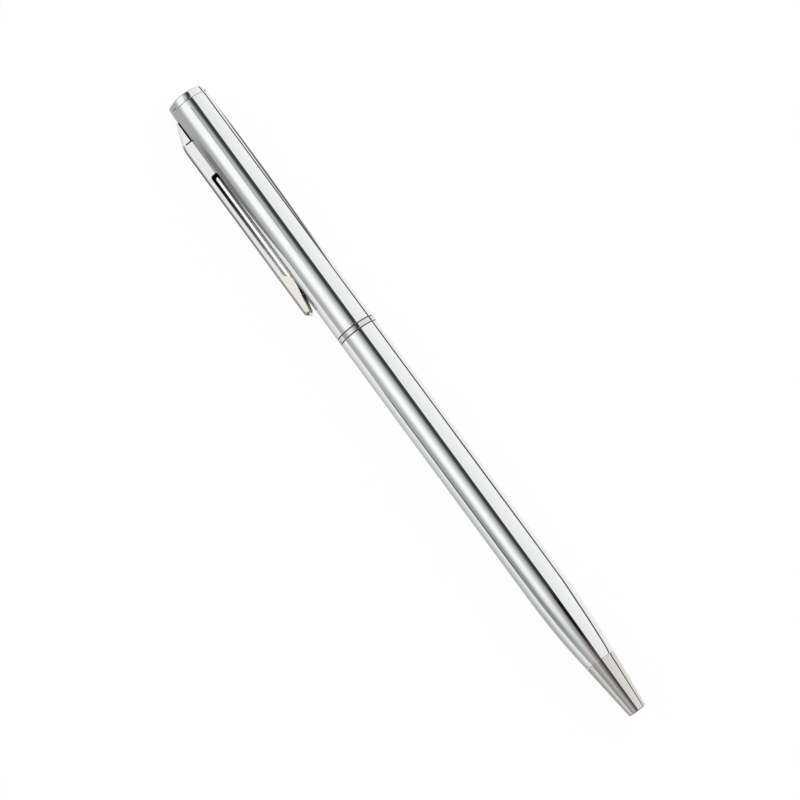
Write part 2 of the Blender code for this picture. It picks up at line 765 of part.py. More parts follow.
def make_writing_ball():
    shape = bmesh.new()
    across = Matrix.Translation((0, 0, BALL_CENTRE)) @ Matrix.Rotation(math.pi / 2, 4, "X")
    bmesh.ops.create_uvsphere(
        shape, u_segments=REFILL_STEPS, v_segments=REFILL_STEPS // 2, radius=BALL_DIAMETER / 2, matrix=across
    )
    mesh = bpy.data.meshes.new("writing_ball")
    shape.to_mesh(mesh)
    shape.free()
    mesh.shade_smooth()
    carbide = finish("ball_carbide", (0.45, 0.45, 0.46), 0.12, 1.0)
    add_piece("writing_ball", mesh, ball_centre, carbide)


def resting_roll():
    """How far the clip hangs below the level of the axis when barrel and clip both touch the table."""
    height = CLIP_TOP - CLIP_BEND
    side = CLIP_WIDTH / 2 - CLIP_BEND
    return math.asin((BARREL_R - CLIP_BEND) / math.hypot(height, side)) - math.atan2(side, height)


def lay_down():
    """Lays the pen on the table, centred over the world's origin."""
    to_nose = Matrix.Rotation(math.pi / 2, 4, "Y")
    onto_clip = Matrix.Rotation(resting_roll() - math.pi / 2, 4, "X")
    pen_axis.matrix_world = onto_clip @ to_nose
    bpy.context.view_layer.update()
    graph = bpy.context.evaluated_depsgraph_get()
    corners = []
    for piece in pen_parts.objects:
        if piece.type == "MESH":
            solid = piece.evaluated_get(graph)
            corners += [solid.matrix_world @ vert.co for vert in solid.data.vertices]
    low = Vector([min(corner[i] for corner in corners) for i in range(3)])
    high = Vector([max(corner[i] for corner in corners) for i in range(3)])
    pen_axis.location -= Vector(((low.x + high.x) / 2, (low.y + high.y) / 2, low.z))


clear_scene()
pen_parts = new_collection("ballpoint_pen")
pen_cutters = new_collection("pen_cutters")

pen_axis = empty_at("pen_axis")
drive_axis = empty_at("drive_axis", pen_axis)
cap_axis = empty_at("cap_axis", drive_axis)
clip_root = empty_at("clip_root", cap_axis, (CLIP_TRIM_R, 0, CLIP_STATION))
refill_axis = empty_at("refill_axis", pen_axis)
ball_centre = empty_at("ball_centre", refill_axis, (0, 0, BALL_CENTRE))

make_crown()
make_clip_bush()
make_upper_barrel()
make_drive_liner()
make_clip()
make_centre_ring()
make_lower_barrel()
make_nose_cone()
make_mechanism_sleeve()
make_retaining_collar()
make_thrust_washer()
make_cam_tube()
make_drive_stub()
make_grip_ring()
make_follower()
make_follower_pin()
make_refill_tube()
make_ink()
make_refill_tip()
make_writing_ball()
lay_down()
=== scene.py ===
"""The looks of a slim chrome twist-action ballpoint pen, lying on its barrel and its clip.

Sizes are in metres. Pieces are shaped in the pen's own frame, with +Z along the pen from the crown's flat
end and +X towards the clip, and are then laid where the frame's own nodes lie. Stations are distances from
the crown's end.
"""

import json
import math

import bmesh
import bpy
from mathutils import Matrix, Vector

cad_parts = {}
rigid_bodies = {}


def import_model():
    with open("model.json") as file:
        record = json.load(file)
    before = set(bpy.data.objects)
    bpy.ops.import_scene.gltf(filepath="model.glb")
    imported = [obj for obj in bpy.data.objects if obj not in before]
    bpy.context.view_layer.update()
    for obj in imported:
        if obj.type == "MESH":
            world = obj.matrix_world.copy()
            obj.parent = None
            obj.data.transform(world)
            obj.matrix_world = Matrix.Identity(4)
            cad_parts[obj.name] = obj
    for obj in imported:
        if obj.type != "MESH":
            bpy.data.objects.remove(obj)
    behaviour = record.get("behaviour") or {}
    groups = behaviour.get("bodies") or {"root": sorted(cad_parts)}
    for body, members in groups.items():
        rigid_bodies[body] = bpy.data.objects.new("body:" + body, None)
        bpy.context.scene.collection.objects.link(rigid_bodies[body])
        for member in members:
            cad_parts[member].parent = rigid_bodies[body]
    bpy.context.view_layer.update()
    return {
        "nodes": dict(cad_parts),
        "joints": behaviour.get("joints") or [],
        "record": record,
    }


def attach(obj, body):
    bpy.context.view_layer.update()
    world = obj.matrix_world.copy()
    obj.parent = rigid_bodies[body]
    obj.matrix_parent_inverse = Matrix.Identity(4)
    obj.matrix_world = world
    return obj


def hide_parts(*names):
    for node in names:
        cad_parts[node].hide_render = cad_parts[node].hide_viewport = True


for leftover in list(bpy.data.objects):
    bpy.data.objects.remove(leftover, do_unlink=True)
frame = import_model()

# Lower barrel
# A drawn brass tube, polished and chrome plated, whose front is swaged in to meet the nose.
# The mechanism is pressed into its back end and the nose is screwed into its front.
MM = 0.001
MERGE = 1e-8
TURN_STEPS = 240
ROUND_STEPS = 6
FLAT_ANGLE = math.radians(35)
ROLLED_EDGE = 0.05 * MM
DRAWN_IN_LENGTH = 15.3 * MM
DRAWN_IN_STEPS = 24
CHROME_TINT = (0.84, 0.85, 0.85)
PLATE_TONED = 0.95
HAIRLINE_SHARE = 0.004

joints = {joint["name"]: joint for joint in frame["joints"]}
mounts = {mount["name"]: mount for mount in frame["record"]["mounts"]}
crown_end = Vector(mounts["crown_end"]["pos_m"])
along_pen = Vector(joints["barrel_twist"]["axis"])
across_clip = Vector(joints["clip_flex"]["axis"])
towards_clip = across_clip.cross(along_pen)
pen_place = Matrix((towards_clip, across_clip, along_pen)).transposed().to_4x4()
pen_place.translation = crown_end


def span(node):
    """Where a turned node starts and ends along the pen, and its least and greatest radius."""
    to_pen = pen_place.inverted()
    spots = [to_pen @ vert.co for vert in frame["nodes"][node].data.vertices]
    stations = [spot.z for spot in spots]
    radii = [math.hypot(spot.x, spot.y) for spot in spots]
    return min(stations), max(stations), min(radii), max(radii)


def soften(shape, parts, offset, segments, affect):
    """Rounds the given corners or edges of a shape, and gives the rounded faces."""
    rounded = bmesh.ops.bevel(
        shape,
        geom=parts,
        offset=offset,
        offset_type="OFFSET",
        affect=affect,
        segments=segments,
        profile=0.5,
        clamp_overlap=True,
        material=-1,
    )
    return rounded["faces"]


def flat_outline(points):
    """One flat face in a new shape, from (place, rounding) corners."""
    shape = bmesh.new()
    corners = [shape.verts.new(spot) for spot, _ in points]
    shape.faces.new(corners)
    for corner, (_, rounding) in zip(corners, points):
        if rounding:
            soften(shape, [corner], rounding, ROUND_STEPS, "VERTICES")
    return shape


def turned(section):
    """A turned shape, from the (station, radius, rounding) corners of its section beside the axis."""
    shape = flat_outline([((radius, 0, station), rounding) for station, radius, rounding in section])
    bmesh.ops.delete(shape, geom=list(shape.faces), context="FACES_ONLY")
    on_axis = [edge for edge in shape.edges if all(vert.co.x < MERGE for vert in edge.verts)]
    bmesh.ops.delete(shape, geom=on_axis, context="EDGES")
    bmesh.ops.spin(
        shape,
        geom=[*shape.verts, *shape.edges],
        cent=(0, 0, 0),
        axis=(0, 0, 1),
        angle=math.tau,
        steps=TURN_STEPS,
        use_merge=True,
    )
    bmesh.ops.remove_doubles(shape, verts=shape.verts, dist=MERGE)
    bmesh.ops.recalc_face_normals(shape, faces=shape.faces)
    return shape


def place(name, shape, body, slot, *materials):
    """Lays a shape where the pen lies, as a piece of a body, with its flats kept flat."""
    bmesh.ops.transform(shape, matrix=pen_place, verts=shape.verts)
    mesh = bpy.data.meshes.new(name)
    shape.to_mesh(mesh)
    shape.free()
    mesh.shade_smooth()
    mesh.set_sharp_from_angle(angle=FLAT_ANGLE)
    for material in materials:
        mesh.materials.append(material)
    piece = bpy.data.objects.new(name, mesh)
    bpy.context.scene.collection.objects.link(piece)
    even = piece.modifiers.new("even_normals", "WEIGHTED_NORMAL")
    even.keep_sharp = True
    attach(piece, body)
    return piece


def add_node(tree, kind, **settings):
    """A new shader node with the given settings."""
    node = tree.nodes.new(kind)
    for key, value in settings.items():
        setattr(node, key, value)
    return node


def feed(tree, value, socket):
    """Gives a socket a plain value, or links another socket to it."""
    if isinstance(value, bpy.types.NodeSocket):
        tree.links.new(value, socket)
    else:
        socket.default_value = value


def worked_out(tree, operation, *values):
    """A sum, a product or another rule on sockets and plain numbers."""
    rule = add_node(tree, "ShaderNodeMath", operation=operation)
    for value, socket in zip(values, rule.inputs):
        feed(tree, value, socket)
    return rule.outputs["Value"]


def ranged(tree, value, low, high, to_low, to_high, way="SMOOTHSTEP"):
    """Maps a value from one range to another, and holds it at the ends."""
    change = add_node(tree, "ShaderNodeMapRange", interpolation_type=way)
    sockets = ("Value", "From Min", "From Max", "To Min", "To Max")
    for number, socket in zip((value, low, high, to_low, to_high), sockets):
        feed(tree, number, change.inputs[socket])
    return change.outputs["Result"]


def mixed(tree, share, under, over, kind):
    """Lays a value or colour over another by a share."""
    mix = add_node(tree, "ShaderNodeMix", data_type=kind)
    layers = [socket for socket in mix.inputs if socket.enabled and socket.name in ("A", "B")]
    feed(tree, share, mix.inputs["Factor"])
    feed(tree, under, layers[0])
    feed(tree, over, layers[1])
    return next(socket for socket in mix.outputs if socket.enabled)


def stretched_noise(tree, vector, stretch, detail):
    """Noise on coordinates stretched by a factor along each axis, in features to the metre."""
    mapping = add_node(tree, "ShaderNodeMapping")
    feed(tree, stretch, mapping.inputs["Scale"])
    feed(tree, vector, mapping.inputs["Vector"])
    noise = add_node(tree, "ShaderNodeTexNoise")
    feed(tree, 1.0, noise.inputs["Scale"])
    feed(tree, detail, noise.inputs["Detail"])
    feed(tree, mapping.outputs["Vector"], noise.inputs["Vector"])
    return noise.outputs["Fac"]


def new_finish(name, stretch, detail, spread, dulling):
    """A finish with a cloudy tone that dulls it: its node group, its coordinates and its open height."""
    group = bpy.data.node_groups.new(name, "ShaderNodeTree")
    group.interface.new_socket("Vector", in_out="INPUT", socket_type="NodeSocketVector")
    group.interface.new_socket("Smoothest", in_out="INPUT", socket_type="NodeSocketFloat")
    for socket in ("Tone", "Roughness", "Height"):
        group.interface.new_socket(socket, in_out="OUTPUT", socket_type="NodeSocketFloat")
    given = add_node(group, "NodeGroupInput").outputs
    result = add_node(group, "NodeGroupOutput").inputs
    cloud = ranged(group, stretched_noise(group, given["Vector"], stretch, detail), *spread, 0.0, 1.0)
    feed(group, cloud, result["Tone"])
    feed(group, worked_out(group, "MULTIPLY_ADD", cloud, dulling, given["Smoothest"]), result["Roughness"])
    return group, given["Vector"], result["Height"]


def make_plated_polish():
    """Polished plating: faint finger smudges, hairlines along the tube and a slow waviness."""
    smudges = {"stretch": (90, 260, 260), "detail": 5, "spread": (0.48, 0.78), "dulling": 0.03}
    group, vector, height = new_finish("plated_polish", **smudges)
    hairlines = stretched_noise(group, vector, stretch=(120, 9000, 9000), detail=2)
    waves = stretched_noise(group, vector, stretch=(110, 90, 90), detail=1)
    feed(group, worked_out(group, "MULTIPLY_ADD", hairlines, HAIRLINE_SHARE, waves), height)
    return group


def finished(name, finish, tint, toned, smoothest, lift, metallic):
    """A material in two tones of a colour, whose tone, roughness and bump come from a shared finish."""
    material = bpy.data.materials.new(name)
    material.use_nodes = True
    tree = material.node_tree
    shader = tree.nodes["Principled BSDF"]
    worked = add_node(tree, "ShaderNodeGroup", node_tree=finish)
    feed(tree, add_node(tree, "ShaderNodeTexCoord").outputs["Object"], worked.inputs["Vector"])
    feed(tree, smoothest, worked.inputs["Smoothest"])
    second = (*(channel * toned for channel in tint), 1)
    colour = mixed(tree, worked.outputs["Tone"], (*tint, 1), second, "RGBA")
    lifted = add_node(tree, "ShaderNodeBump")
    feed(tree, lift, lifted.inputs["Distance"])
    feed(tree, worked.outputs["Height"], lifted.inputs["Height"])
    feed(tree, colour, shader.inputs["Base Color"])
    feed(tree, worked.outputs["Roughness"], shader.inputs["Roughness"])
    feed(tree, lifted.outputs["Normal"], shader.inputs["Normal"])
    feed(tree, metallic, shader.inputs["Metallic"])
    return material


def plated(name, tint, smoothest, lift, toned=PLATE_TONED):
    """Polished plate."""
    return finished(name, plated_polish, tint, toned, smoothest, lift, metallic=1.0)


plated_polish = make_plated_polish()
casing_chrome = plated("casing_chrome", CHROME_TINT, smoothest=0.02, lift=0.004 * MM)

lower_start, lower_end, _, barrel_radius = span("lower_barrel")
nose_radius = span("nose_cone")[3]
barrel_bore = span("upper_barrel")[2]
barrel_wall = barrel_radius - barrel_bore
drawn_line = []
for step in range(DRAWN_IN_STEPS + 1):
    part = step / DRAWN_IN_STEPS
    station = lower_end - DRAWN_IN_LENGTH * (1 - part)
    drawn_line.append((station, barrel_radius - (barrel_radius - nose_radius) * part**2))
front_rim = drawn_line.pop()
lower_section = [(lower_start, barrel_radius, ROLLED_EDGE)]
lower_section += [(station, radius, 0) for station, radius in drawn_line]
lower_section += [(*front_rim, ROLLED_EDGE), (front_rim[0], front_rim[1] - barrel_wall, 0)]
lower_section += [(station, radius - barrel_wall, 0) for station, radius in reversed(drawn_line)]
lower_section += [(lower_start, barrel_bore, 0)]
lower_tube = place("lower_tube", turned(lower_section), "lower", "casing_chrome", casing_chrome)
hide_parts("lower_barrel")

# Nose
# A turned brass cone, chrome plated a little warmer than the tubes, with a bore that guides the refill's
# point. Its spigot is screwed into the front of the lower barrel, and its end is rounded over.
NOSE_TINT = (0.68, 0.665, 0.63)
NOSE_END_RADIUS = 1.7 * MM
NOSE_ROUNDING = 0.28 * MM
NOSE_LEAD_OUT = 0.12 * MM
NOSE_GUIDE_LENGTH = 5.0 * MM
NOSE_SPIGOT_WALL = 0.7 * MM
PRESS_GAP = 0.05 * MM

spigot_start, nose_end, nose_guide, _ = span("nose_cone")
ring_start, ring_end, ring_bore, ring_radius = span("centre_ring")
seam_gap = lower_start - ring_end
nose_start = lower_end + seam_gap
nose_spigot = nose_radius - barrel_wall - PRESS_GAP
nose_chrome = plated("nose_chrome", NOSE_TINT, smoothest=0.03, lift=0.002 * MM)
nose_section = [
    (spigot_start, nose_spigot, ROLLED_EDGE),
    (nose_start, nose_spigot, 0),
    (nose_start, nose_radius, ROLLED_EDGE),
    (nose_end, NOSE_END_RADIUS, NOSE_ROUNDING),
    (nose_end, nose_guide, NOSE_LEAD_OUT),
    (nose_end - NOSE_GUIDE_LENGTH, nose_guide, 0),
    (nose_start, nose_spigot - NOSE_SPIGOT_WALL, 0),
    (spigot_start, nose_spigot - NOSE_SPIGOT_WALL, 0),
]
nose = place("nose", turned(nose_section), "lower", "nose_chrome", nose_chrome)
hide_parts("nose_cone")

# Mechanism sleeve
# A turned brass sleeve, pressed into the back of the lower barrel, with a flange at its inner end.
# Two straight slots guide the follower's pin, and its spigot carries the centre ring and the upper barrel.
BRASS_TINT = (0.78, 0.60, 0.30)
SLEEVE_WALL = 0.4 * MM
SLEEVE_FLANGE = 1.0 * MM
SLEEVE_EDGE = 0.12 * MM
SPIGOT_GAP = 0.1 * MM
PIN_SLOT_GAP = 0.15 * MM


def make_turned_lines():
    """A lathe's finish: fine rings round the pen's axis, some of them duller."""
    dull_rings = {"stretch": (900, 300, 300), "detail": 4, "spread": (0.4, 0.7), "dulling": 0.12}
    group, vector, height = new_finish("turned_lines", **dull_rings)
    feed(group, stretched_noise(group, vector, stretch=(7000, 60, 60), detail=3), height)
    return group


def lathed(name, tint, toned, smoothest, lift):
    """Turned metal."""
    return finished(name, turned_lines, tint, toned, smoothest, lift, metallic=1.0)


def cut_across(shape, normal, offset, faces):
    """Cuts the given faces along a plane, so that faces on one side of it can be taken out."""
    cut = {*faces}
    for face in faces:
        cut.update(face.edges, face.verts)
    bmesh.ops.bisect_plane(shape, geom=list(cut), dist=MERGE, plane_co=normal * offset, plane_no=normal)


def wall_on_side(shape, side, low, high):
    """The faces of a tube between two stations, on the half that looks to one side."""
    middles = ((face, face.calc_center_median()) for face in shape.faces)
    return [face for face, middle in middles if middle.dot(side) > 0 and low < middle.z < high]


def punch_slot(shape, side, half_width, low, high):
    """Punches a slot through one side of a tube's wall, between two stations."""
    across = Vector((-side.y, side.x, 0))
    for end in (low, high):
        cut_across(shape, Vector((0, 0, 1)), end, list(shape.faces))
    for flank in (-half_width, half_width):
        cut_across(shape, across, flank, wall_on_side(shape, side, low, high))
    wall = wall_on_side(shape, side, low, high)
    punched = [face for face in wall if abs(face.calc_center_median().dot(across)) < half_width]
    bmesh.ops.delete(shape, geom=punched, context="FACES")
    bmesh.ops.bridge_loops(shape, edges=[edge for edge in shape.edges if edge.is_boundary])
    bmesh.ops.recalc_face_normals(shape, faces=shape.faces)


turned_lines = make_turned_lines()
mechanism_brass = lathed("mechanism_brass", BRASS_TINT, toned=0.82, smoothest=0.2, lift=0.004 * MM)
sleeve_start, sleeve_end, flange_bore, sleeve_radius = span("mechanism_sleeve")
sleeve_bore = sleeve_radius - SLEEVE_WALL
sleeve_spigot = barrel_bore - SPIGOT_GAP
flange_start = sleeve_end - SLEEVE_FLANGE
pin_start, pin_end, _, _ = span("follower_pin")
refill_travel = joints["refill_slide"]["range_m"][1]
sleeve_section = [
    (sleeve_start, sleeve_spigot, SLEEVE_EDGE),
    (lower_start, sleeve_spigot, 0),
    (lower_start, sleeve_radius, 0),
    (sleeve_end, sleeve_radius, SLEEVE_EDGE),
    (sleeve_end, flange_bore, SLEEVE_EDGE),
    (flange_start, flange_bore, 0),
    (flange_start, sleeve_bore, 0),
    (sleeve_start, sleeve_bore, SLEEVE_EDGE),
]
sleeve_shape = turned(sleeve_section)
pin_slot = (pin_end - pin_start) / 2 + PIN_SLOT_GAP
pin_slot_start = pin_start - PIN_SLOT_GAP
pin_slot_end = pin_end + refill_travel + PIN_SLOT_GAP
for pin_side in (Vector((0, 1, 0)), Vector((0, -1, 0))):
    punch_slot(sleeve_shape, pin_side, pin_slot, pin_slot_start, pin_slot_end)
brass_sleeve = place("brass_sleeve", sleeve_shape, "lower", "mechanism_brass", mechanism_brass)
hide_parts("mechanism_sleeve")

# Thrust washer and retaining collar
# A punched nylon washer that the cam turns on, and a turned brass collar pressed into the sleeve's mouth.
# Between them the cam can turn, but can't slide.
NYLON_TINT = (0.86, 0.86, 0.83)
WASHER_EDGE = 0.08 * MM
COLLAR_EDGE = 0.15 * MM


def make_moulded_grain():
    """Moulded plastic: a fine satin grain, with cloudy patches that are a little duller."""
    patches = {"stretch": (350, 500, 500), "detail": 3, "spread": (0.4, 0.7), "dulling": 0.1}
    group, vector, height = new_finish("moulded_grain", **patches)
    feed(group, stretched_noise(group, vector, stretch=(6000, 6000, 6000), detail=2), height)
    return group


def moulded(name, tint, toned, smoothest, lift):
    """Moulded plastic or rubber, or a soft filling."""
    return finished(name, moulded_grain, tint, toned, smoothest, lift, metallic=0.0)


def band_section(node, edge):
    """The section of a plain ring or short tube that fills its node, with all its edges rounded alike."""
    start, end, bore, radius = span(node)
    return [(start, radius, edge), (end, radius, edge), (end, bore, edge), (start, bore, edge)]


moulded_grain = make_moulded_grain()
washer_nylon = moulded("washer_nylon", NYLON_TINT, toned=0.93, smoothest=0.45, lift=0.003 * MM)
washer_shape = turned(band_section("thrust_washer", WASHER_EDGE))
nylon_washer = place("nylon_washer", washer_shape, "lower", "washer_plastic", washer_nylon)
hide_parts("thrust_washer")
collar_shape = turned(band_section("retaining_collar", COLLAR_EDGE))
brass_collar = place("brass_collar", collar_shape, "lower", "mechanism_brass", mechanism_brass)
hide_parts("retaining_collar")

# Cam
# A moulded tube with two helical slots that push the follower's pin along as the top half is turned.
# It lies unseen in the sleeve, so the frame's own shape stays and takes the stub's dark plastic.
DRIVE_TINT = (0.16, 0.17, 0.19)

drive_plastic = moulded("drive_plastic", DRIVE_TINT, toned=0.8, smoothest=0.36, lift=0.004 * MM)
frame["nodes"]["cam_tube"].material_slots[0].material = drive_plastic

# Drive stub
# A moulded plug, pressed into the cam, that sticks out of the mechanism into the upper barrel and is turned
# by it. It has a lead-in, a groove for the rubber ring and ten round flutes that grip the liner.
STUB_LEAD_IN = 0.5 * MM
STUB_EDGE = 0.1 * MM
STUB_FLUTES = 10
FLUTE_HALF_WIDTH = 0.35 * MM
FLUTE_DEPTH = 0.3 * MM
FLUTE_RUN_OUT = 0.4 * MM
GROOVE_EDGE = 0.04 * MM

stub_start, neck_end, _, stub_radius = span("drive_stub")
stub_end = sleeve_start - SPIGOT_GAP
neck_radius = span("cam_tube")[2] - PRESS_GAP
grip_start, grip_end, grip_bore, _ = span("grip_ring")
groove_start = grip_start - PRESS_GAP
groove_end = grip_end + PRESS_GAP
groove_radius = grip_bore - PRESS_GAP
flute_start = groove_end + (grip_end - grip_start)
stub_section = [
    (stub_start, 0, 0),
    (stub_start, stub_radius - STUB_LEAD_IN, STUB_EDGE),
    (stub_start + STUB_LEAD_IN, stub_radius, STUB_EDGE),
    (groove_start, stub_radius, GROOVE_EDGE),
    (groove_start, groove_radius, 0),
    (groove_end, groove_radius, 0),
    (groove_end, stub_radius, GROOVE_EDGE),
    (flute_start, stub_radius, 0),
    (flute_start + FLUTE_RUN_OUT, stub_radius, 0),
    (stub_end, stub_radius, STUB_EDGE),
    (stub_end, neck_radius, 0),
    (neck_end, neck_radius, STUB_EDGE),
    (neck_end, 0, 0),
]
stub_shape = turned(stub_section)
flute_pitch = math.tau / STUB_FLUTES
for vert in stub_shape.verts:
    around = math.atan2(vert.co.y, vert.co.x)
    off_middle = abs(around - flute_pitch * round(around / flute_pitch)) * stub_radius / FLUTE_HALF_WIDTH
    fluted = flute_start + FLUTE_RUN_OUT - MERGE < vert.co.z < stub_end + MERGE
    if fluted and off_middle < 1 and vert.co.xy.length > neck_radius + FLUTE_DEPTH / 2:
        vert.co.xy -= vert.co.xy.normalized() * FLUTE_DEPTH * math.sqrt(1 - off_middle**2)
fluted_stub = place("fluted_stub", stub_shape, "drive", "drive_plastic", drive_plastic)
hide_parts("drive_stub")

# Grip ring
# A moulded rubber ring in the stub's groove, which keeps the top half from falling off by itself.
# It is a plain ring of round section, stretched over the stub.
RUBBER_TINT = (0.03, 0.03, 0.03)
GRIP_ROUNDNESS = 0.48

grip_rubber = moulded("grip_rubber", RUBBER_TINT, toned=1.6, smoothest=0.5, lift=0.004 * MM)
grip_shape = turned(band_section("grip_ring", (grip_end - grip_start) * GRIP_ROUNDNESS))
rubber_ring = place("rubber_ring", grip_shape, "drive", "grip_rubber", grip_rubber)
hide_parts("grip_ring")

# Follower and its pin
# A moulded plunger with a socket for the refill, and the ground steel pin across it that all four slots
# guide. They lie unseen in the cam, so the frame's own shapes stay and take their finishes.
FOLLOWER_TINT = (0.72, 0.70, 0.66)
STEEL_TINT = (0.62, 0.63, 0.64)

follower_plastic = moulded("follower_plastic", FOLLOWER_TINT, toned=0.9, smoothest=0.4, lift=0.003 * MM)
pin_steel = lathed("pin_steel", STEEL_TINT, toned=0.9, smoothest=0.15, lift=0.002 * MM)
frame["nodes"]["follower"].material_slots[0].material = follower_plastic
frame["nodes"]["follower_pin"].material_slots[0].material = pin_steel

# Refill
# A drawn brass tube, crimped on to the point with a shallow rolled groove, and filled with ink.
# A short plug of grease follows the ink down and keeps it from running back.
GREASE_TINT = (0.80, 0.76, 0.60)
INK_TINT = (0.01, 0.02, 0.12)
CRIMP_SETBACK = 1.4 * MM
CRIMP_HALF_WIDTH = 0.3 * MM
CRIMP_DEPTH = 0.06 * MM
CRIMP_ROUNDING = 0.12 * MM
MENISCUS = 0.25 * MM

refill_brass = lathed("refill_brass", BRASS_TINT, toned=0.85, smoothest=0.18, lift=0.002 * MM)
tube_start, tube_end, tube_bore, tube_radius = span("refill_tube")
crimp = tube_end - CRIMP_SETBACK
tube_section = [
    (tube_start, tube_radius, ROLLED_EDGE),
    (crimp - CRIMP_HALF_WIDTH, tube_radius, CRIMP_ROUNDING),
    (crimp, tube_radius - CRIMP_DEPTH, CRIMP_ROUNDING),
    (crimp + CRIMP_HALF_WIDTH, tube_radius, CRIMP_ROUNDING),
    (tube_end, tube_radius, ROLLED_EDGE),
    (tube_end, tube_bore, 0),
    (tube_start, tube_bore, 0),
]
brass_tube = place("brass_tube", turned(tube_section), "refill", "refill_brass", refill_brass)
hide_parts("refill_tube")
grease = moulded("grease", GREASE_TINT, toned=0.85, smoothest=0.2, lift=0)
ink = moulded("ink", INK_TINT, toned=0.6, smoothest=0.1, lift=0)
fillings = (
    ("grease_fill", "grease_plug", "grease", grease),
    ("ink_fill", "ink_column", "ink", ink),
)
for piece_name, filling, filling_slot, filling_material in fillings:
    fill_start, fill_end, _, fill_radius = span(filling)
    fill_section = [
        (fill_start, 0, 0),
        (fill_start, fill_radius, MENISCUS),
        (fill_end, fill_radius, MENISCUS),
        (fill_end, 0, 0),
    ]
    fill_piece = place(piece_name, turned(fill_section), "refill", filling_slot, filling_material)
    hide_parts(filling)

# Refill point and its ball
# A turned nickel-silver point whose spigot is pressed into the tube, bored for the ink, with a rolled lip
# round the ball. The ball is ground carbide, and is free to roll in its socket.
SILVER_TINT = (0.72, 0.68, 0.60)
CARBIDE_TINT = (0.45, 0.45, 0.46)
POINT_SHOULDER = 0.8 * MM
POINT_EDGE = 0.06 * MM
LIP_RADIUS = 0.62 * MM
LIP_EDGE = 0.03 * MM
SOCKET_GAP = 0.04 * MM
SOCKET_STEPS = 12
BALL_RINGS = 48

tip_metal = lathed("tip_metal", SILVER_TINT, toned=0.9, smoothest=0.14, lift=0.002 * MM)
ball_metal = plated("ball_metal", CARBIDE_TINT, smoothest=0.08, lift=0.001 * MM, toned=0.85)
point_start, lip_end, ink_bore, point_radius = span("refill_tip")
ball_start, ball_end, _, ball_radius = span("writing_ball")
ball_middle = (ball_start + ball_end) / 2
socket_radius = ball_radius + SOCKET_GAP
point_root = tube_end + seam_gap
mouth_angle = math.acos((lip_end - ball_middle) / socket_radius)
back_angle = math.pi - math.asin(ink_bore / socket_radius)
point_section = [
    (point_start, tube_bore - PRESS_GAP, ROLLED_EDGE),
    (point_root, tube_bore - PRESS_GAP, 0),
    (point_root, point_radius, POINT_EDGE),
    (point_root + POINT_SHOULDER, point_radius, POINT_EDGE),
    (lip_end, LIP_RADIUS, LIP_EDGE),
]
for step in range(SOCKET_STEPS + 1):
    angle = mouth_angle + (back_angle - mouth_angle) * step / SOCKET_STEPS
    socket_station = ball_middle + socket_radius * math.cos(angle)
    point_section.append((socket_station, socket_radius * math.sin(angle), 0))
point_section.append((point_start, ink_bore, 0))
silver_point = place("silver_point", turned(point_section), "refill", "tip_metal", tip_metal)
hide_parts("refill_tip")
ball_shape = bmesh.new()
bmesh.ops.create_uvsphere(
    ball_shape,
    u_segments=2 * BALL_RINGS,
    v_segments=BALL_RINGS,
    radius=ball_radius,
)
bmesh.ops.translate(ball_shape, verts=ball_shape.verts, vec=(0, 0, ball_middle))
carbide_ball = place("carbide_ball", ball_shape, "ball", "ball_metal", ball_metal)
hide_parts("writing_ball")

# Centre ring
# A narrow turned ring with a flat rim and chamfered edges, held between the two halves on the sleeve's
# spigot. It is plated like the nose, and its chamfers and sides are darker: painted shade in the seams.
RING_TINT = (0.72, 0.70, 0.66)
RING_EDGE_SHADE_TINT = (0.2, 0.195, 0.19)
RING_CHAMFER = 0.13 * MM
RING_EDGE = 0.03 * MM
RING_EDGE_SLOPE = 0.4
RING_LAND = 0.08 * MM
EDGE_SHADE_MATERIAL = 1

ring_chrome = plated("ring_chrome", RING_TINT, smoothest=0.03, lift=0.002 * MM)
edge_shade_chrome = plated("edge_shade_chrome", RING_EDGE_SHADE_TINT, smoothest=0.25, lift=0.002 * MM, toned=0.9)
ring_section = [
    (ring_start, ring_radius - RING_CHAMFER, RING_EDGE),
    (ring_start + RING_CHAMFER, ring_radius, RING_EDGE),
    (ring_start + RING_CHAMFER + RING_LAND, ring_radius, 0),
    (ring_end - RING_CHAMFER - RING_LAND, ring_radius, 0),
    (ring_end - RING_CHAMFER, ring_radius, RING_EDGE),
    (ring_end, ring_radius - RING_CHAMFER, RING_EDGE),
    (ring_end, ring_bore, 0),
    (ring_start, ring_bore, 0),
]
ring_shape = turned(ring_section)
# Steep faces, the chamfers and sides, take the dark edge plate: painted shade in the seams beside the ring.
for face in ring_shape.faces:
    if abs(face.normal.z) > RING_EDGE_SLOPE:
        face.material_index = EDGE_SHADE_MATERIAL
ring = place("ring", ring_shape, "lower", "ring_chrome", ring_chrome, edge_shade_chrome)
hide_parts("centre_ring")

# Upper barrel
# The same drawn and plated tube as the lower barrel, with a slot near the crown for the clip's hook.
# It turns with the drive stub, and pulls straight off it when the refill is changed.
SLOT_HALF_WIDTH = 1.2 * MM
SLOT_START = 3.1 * MM
SLOT_END = 6.9 * MM

upper_start, upper_end, _, _ = span("upper_barrel")
upper_section = [
    (upper_start, barrel_radius, ROLLED_EDGE),
    (upper_end, barrel_radius, ROLLED_EDGE),
    (upper_end, barrel_bore, 0),
    (upper_start, barrel_bore, 0),
]
upper_shape = turned(upper_section)
punch_slot(upper_shape, Vector((1, 0, 0)), SLOT_HALF_WIDTH, SLOT_START, SLOT_END)
upper_tube = place("upper_tube", upper_shape, "cap", "casing_chrome", casing_chrome)
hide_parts("upper_barrel")

